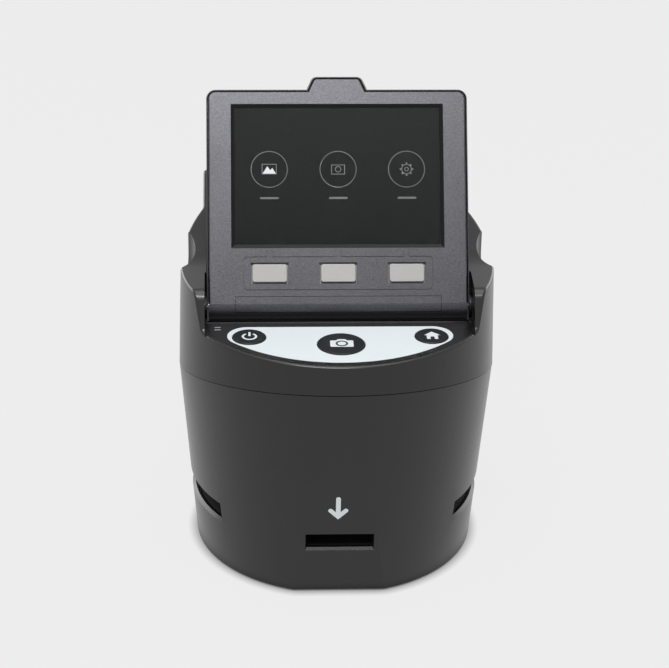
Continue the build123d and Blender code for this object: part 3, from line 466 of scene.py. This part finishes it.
def glowing(name, colour, strength):
    """A sign that the display shows."""
    tree, shader, place = start(name)
    grain = add(tree, "TexNoise", {"Vector": place, "Scale": 1 / (0.5 * MM), "Detail": 0.0})
    level = spread(tree, grain.outputs["Fac"], 0.92, 1.08, ends=(0.0, 1.0))
    put(tree, shader, {"Emission Color": times(tree, colour, level),
                       "Emission Strength": strength, "Base Color": linear("#101010"),
                       "Roughness": 0.4})


def make_finishes():
    """Every finish, by name. The moulded ones give colour, roughness, grain and depth."""
    # ABS moulded in a spark-eroded tool: near black, satin, with a texture only just felt
    moulded("satin_black_abs", "#0c0c0d", 0.27, 0.7, 0.012, mottle=0.05)
    moulded("dark_abs_inside", "#1a1a1c", 0.55, 0.8, 0.015)
    lid_paint("grey_metallic_paint")
    moulded("black_washer_plastic", "#121212", 0.45, 0.6, 0.01)
    moulded("black_rubber", "#1b1b1b", 0.85, 0.5, 0.05, speck=0.12)
    moulded("white_printed_film", "#d8dfe2", 0.30, 0.5, 0.003, ior=1.58, mottle=0.01)
    moulded("black_button_plastic", "#090f14", 0.32, 0.6, 0.004, ior=1.4)
    moulded("grey_key_plastic", "#a4a3a2", 0.42, 0.5, 0.01, speck=0.03)
    moulded("white_pad_print", "#d4dadb", 0.45, 0.3, 0.004, speck=0.03, mottle=0.02)
    moulded("chip_epoxy", "#1c1c1e", 0.62, 0.3, 0.01, speck=0.1)
    moulded("white_reflector", "#e6e6e2", 0.5, 0.5, 0.006)
    brushed_metal("zinc_plated_steel", "#b9bcbe", 0.32)
    brushed_metal("spring_steel", "#a8a9a6", 0.25, along=(20, 1, 1))
    brushed_metal("nickel_shell", "#c4c2bc", 0.28, along=(1, 20, 1))
    brushed_metal("polished_pin_steel", "#8f9193", 0.22, along=(20, 1, 1))
    solder_mask("green_solder_mask")
    clear("clear_acrylic", "#f4f6f6", WINDOW_IOR)
    clear("optical_glass", "#f2f8f4", GLASS_IOR)
    clear("cyan_filter_glass", "#bfe6e0", GLASS_IOR)
    opal("opal_acrylic", "#eef0f0")
    # display glow; its brightening towards the top is a painted reflection
    display_glow_and_painted_reflection("lit_display", "#070707", "#1e1e1e")
    glowing("bright_icon", "#f2f2f2", 0.9)
    glowing("dim_icon", "#6c6c6c", 1.0)
    opal("indicator_plastic", "#9a9da0")
    opal("led_phosphor", "#e8d36a")


NODE_FINISH = {
    "satin_black_abs": ["lower_shell", "upper_shell", "lid_back_cover"],
    "grey_metallic_paint": ["lid_front_bezel", "lid_hinge_cover"],
    "black_washer_plastic": ["friction_washer_left", "friction_washer_right"],
    "dark_abs_inside": ["base_plate", "film_gate_lower", "film_gate_upper", "insert_guide",
                        "optical_tower", "lens_barrel"],
    "black_rubber": ["rubber_feet", "board_pads"],
    "zinc_plated_steel": ["base_screws", "shell_screws", "board_screws", "button_board_screws",
                          "rail_screws", "sensor_screws", "tower_screws", "lid_screws"],
    "spring_steel": ["detent_springs"],
    "polished_pin_steel": ["hinge_pin_left", "hinge_pin_right"],
    "nickel_shell": ["usb_socket", "hdmi_socket", "card_socket"],
    "white_printed_film": ["panel_overlay"],
    "black_button_plastic": ["capture_button", "power_button", "home_button"],
    "grey_key_plastic": ["soft_key_left", "soft_key_middle", "soft_key_right"],
    "green_solder_mask": ["button_board", "led_board", "sensor_board", "main_board", "lid_board"],
    "chip_epoxy": ["button_switches", "key_switches", "processor_chip", "memory_chips",
                   "image_sensor"],
    "white_reflector": ["light_box", "display_backlight"],
    "opal_acrylic": ["diffuser"],
    "indicator_plastic": ["indicator_lights"],
    "led_phosphor": ["backlight_leds"],
    "clear_acrylic": ["display_window"],
    "optical_glass": ["front_lens", "rear_lens"],
    "cyan_filter_glass": ["ir_filter"],
    "lit_display": ["display_panel"],
}


def dress_nodes():
    """Gives every CAD node its finish."""
    for finish, names in NODE_FINISH.items():
        for name in names:
            data = frame["nodes"][name].data
            data.materials.clear()
            data.materials.append(FINISHES[finish])


# ------------------------------------------------------------------ printed marks

def arrow():
    """Arrow over the front slot, pad printed, with round stroke ends."""
    half, top = 0.85, 10.0     # half the stroke, and the shaft's upper end above the tip
    reach = 3.95               # arm ends from the centre line
    arm = half * math.sqrt(2)
    fork = 2 * arm + half      # where the arms leave the shaft
    shape = bmesh.new()
    outline(shape, [(0, 0), (reach, reach), (reach - arm, reach + arm), (half, fork),
                    (half, top), (-half, top), (-half, fork), (-(reach - arm), reach + arm),
                    (-reach, reach)])
    rounded(shape, 0.8, segments=5, corners={1, 2, 4, 5, 7, 8})
    bmesh.ops.translate(shape, verts=shape.verts[:], vec=(ARROW_SHIFT, 0, 0))
    printed("slot_arrow", "base", facet_plane(ARROW_TIP_Z), shape, "white_pad_print")


def power_mark():
    """Ring open at the top with a bar through the gap."""
    gap = 64                   # degrees
    circle = bmesh.new()
    ring(circle, 2.75, 1.95, start=90 + gap / 2, turn=360 - gap, steps=40)
    stroke = bmesh.new()
    bar(stroke, -0.4, 0.4, 0.3, 3.4)
    printed("power_mark", "power_button", button_plane("power_button"), merged([circle, stroke]),
            "white_pad_print")


def camera_mark():
    """Camera in outline, as a plain shape with a dark ring on it for the lens."""
    half, low, high = 4.1, -3.0, 2.0
    foot, crown, top = 1.9, 1.3, high + 1.0    # half widths of the hump, and its height
    body = bmesh.new()
    outline(body, [(-half, low), (half, low), (half, high), (foot, high), (crown, top),
                   (-crown, top), (-foot, high), (-half, high)])
    rounded(body, 0.3, segments=2)
    lens = bmesh.new()
    ring(lens, 2.2, 1.5, steps=40, y=-0.4)
    printed("camera_mark", "capture_button", button_plane("capture_button"), body,
            "white_pad_print")
    printed("camera_mark_lens", "capture_button", button_plane("capture_button"), lens,
            "black_button_plastic", thick=2 * PRINT_T)


def house_mark():
    """House outline with a door, for the home button."""
    roof, wall, door = 2.9, 2.0, 0.7           # half widths
    ridge, eave, lintel, ground = 3.0, 0.2, -0.9, -2.8
    shape = bmesh.new()
    outline(shape, [(-roof, eave), (0, ridge), (roof, eave), (wall, eave), (wall, ground),
                    (door, ground), (door, lintel), (-door, lintel), (-door, ground),
                    (-wall, ground), (-wall, eave)])
    printed("house_mark", "home_button", button_plane("home_button"), shape, "white_pad_print")


def screen_mark(name, x, shape, finish, rise=0.0):
    """A sign on the display, rise above the line of the three signs."""
    printed(name, "lid", lid_plane(x, ICON_U + rise, PICTURE_LEVEL), shape, finish,
            thick=SHOWN_T)


def frame_lines(half, low, high):
    """Rectangular outline of thin lines, as four bars that meet at the corners."""
    shape = bmesh.new()
    bar(shape, -half, half, low, low + LINE)
    bar(shape, -half, half, high - LINE, high)
    bar(shape, -half, LINE - half, low + LINE, high - LINE)
    bar(shape, half - LINE, half, low + LINE, high - LINE)
    return shape


def screen_icons():
    """Three choices on the display: pictures, scanning and settings, each a sign in a circle
    over a short bar."""
    circle_r, bar_half, bar_rise = 6.7, (3.4, 0.35), -10.5
    for name, x in zip(("pictures", "scan", "settings"), ICON_X):
        circle = bmesh.new()
        ring(circle, circle_r, circle_r - LINE, steps=64)
        screen_mark("screen_circle_" + name, x, circle, "dim_icon")
        short = bmesh.new()
        bar(short, -bar_half[0], bar_half[0], -bar_half[1], bar_half[1])
        rounded(short, 0.3)
        screen_mark("screen_bar_" + name, x, short, "dim_icon", rise=bar_rise)

    screen_mark("screen_picture_frame", ICON_X[0], frame_lines(2.7, -1.8, 2.0), "dim_icon")
    peaks = bmesh.new()
    outline(peaks, [(-2.4, -1.55), (2.4, -1.55), (1.1, 0.5), (0.4, -0.35), (-0.7, 1.1)])
    screen_mark("screen_picture_peaks", ICON_X[0], peaks, "bright_icon")

    lens = bmesh.new()
    lens_r = 1.15
    ring(lens, lens_r, lens_r - LINE, steps=32)
    screen_mark("screen_camera", ICON_X[1], merged([frame_lines(2.5, -1.9, 1.7), lens]),
                "dim_icon")

    rim_r, hub_r, tip_r = 1.9, 0.8, 2.45
    root_half, tip_half, count = 0.35, 0.25, 8
    gear = bmesh.new()
    ring(gear, rim_r, rim_r - LINE, steps=48)
    ring(gear, hub_r, hub_r - LINE, steps=24)
    teeth = []
    for i in range(count):
        tooth = bmesh.new()
        outline(tooth, [(-root_half, rim_r), (root_half, rim_r), (tip_half, tip_r),
                        (-tip_half, tip_r)])
        bmesh.ops.rotate(tooth, verts=tooth.verts[:], cent=(0, 0, 0),
                         matrix=Matrix.Rotation(i * math.tau / count, 3, "Z"))
        teeth.append(tooth)
    screen_mark("screen_gear", ICON_X[2], merged([gear] + teeth), "dim_icon")


# ------------------------------------------------------------------ the scene

make_finishes()
camera()
world()
floor()
lamps()
dress_nodes()
arrow()
power_mark()
camera_mark()
house_mark()
screen_icons()

bpy.context.scene.view_settings.view_transform = "Standard"
